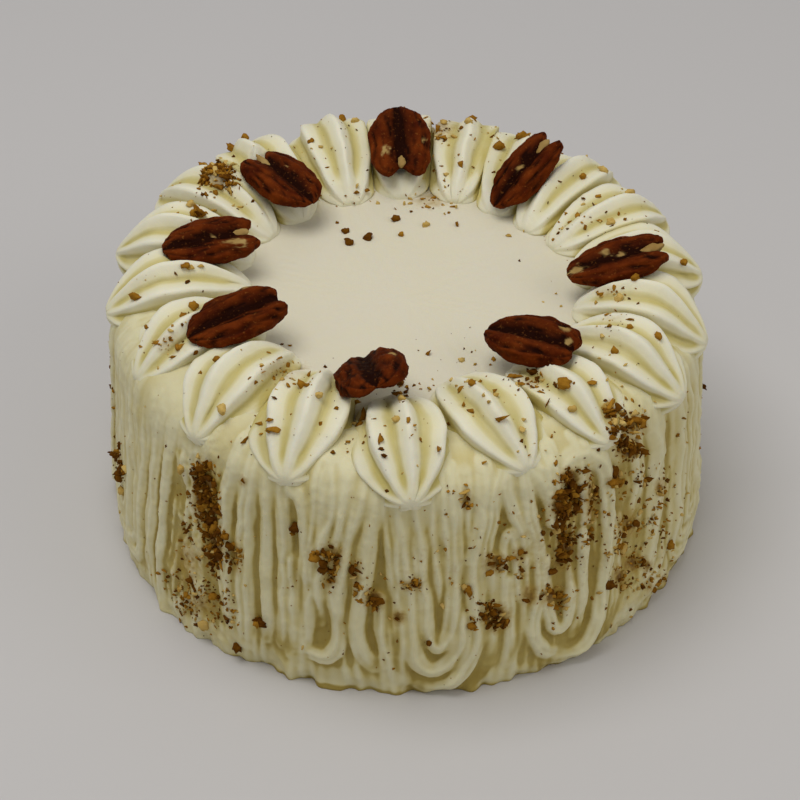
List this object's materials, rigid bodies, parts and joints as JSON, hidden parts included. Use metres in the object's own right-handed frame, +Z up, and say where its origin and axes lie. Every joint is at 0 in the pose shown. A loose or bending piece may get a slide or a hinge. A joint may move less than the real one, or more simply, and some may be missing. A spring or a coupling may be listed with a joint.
{
  "type": "shmoo cake",
  "caption": "Tall round torte coated and piped in whipped cream, with chopped pecans, a ring of piped shells and pecan halves on its rim.",
  "frame": {"origin": "middle of the flat underside that the cake rests on", "axes": "+Z up; the front that the picture shows faces -Y, and +X is to the right seen from there"},
  "size_m": [0.2318, 0.2416, 0.119],
  "materials": {
    "whipped_cream": "soft, faintly moist whipped cream",
    "pecan_skin": "dry, slightly oily pecan skin",
    "chopped_pecan": "matt cut nut"
  },
  "bodies": {
    "root": {"cake": "whipped_cream", "shell_01": "whipped_cream", "shell_02": "whipped_cream", "shell_03": "whipped_cream", "shell_04": "whipped_cream", "shell_05": "whipped_cream", "shell_06": "whipped_cream", "shell_07": "whipped_cream", "shell_08": "whipped_cream", "shell_09": "whipped_cream", "shell_10": "whipped_cream", "shell_11": "whipped_cream", "shell_12": "whipped_cream", "shell_13": "whipped_cream", "shell_14": "whipped_cream", "shell_15": "whipped_cream", "shell_16": "whipped_cream", "shell_17": "whipped_cream", "shell_18": "whipped_cream", "shell_19": "whipped_cream", "pecan_1": "pecan_skin", "pecan_2": "pecan_skin", "pecan_3": "pecan_skin", "pecan_4": "pecan_skin", "pecan_5": "pecan_skin", "pecan_6": "pecan_skin", "pecan_7": "pecan_skin", "pecan_8": "pecan_skin"}
  },
  "joints": []
}
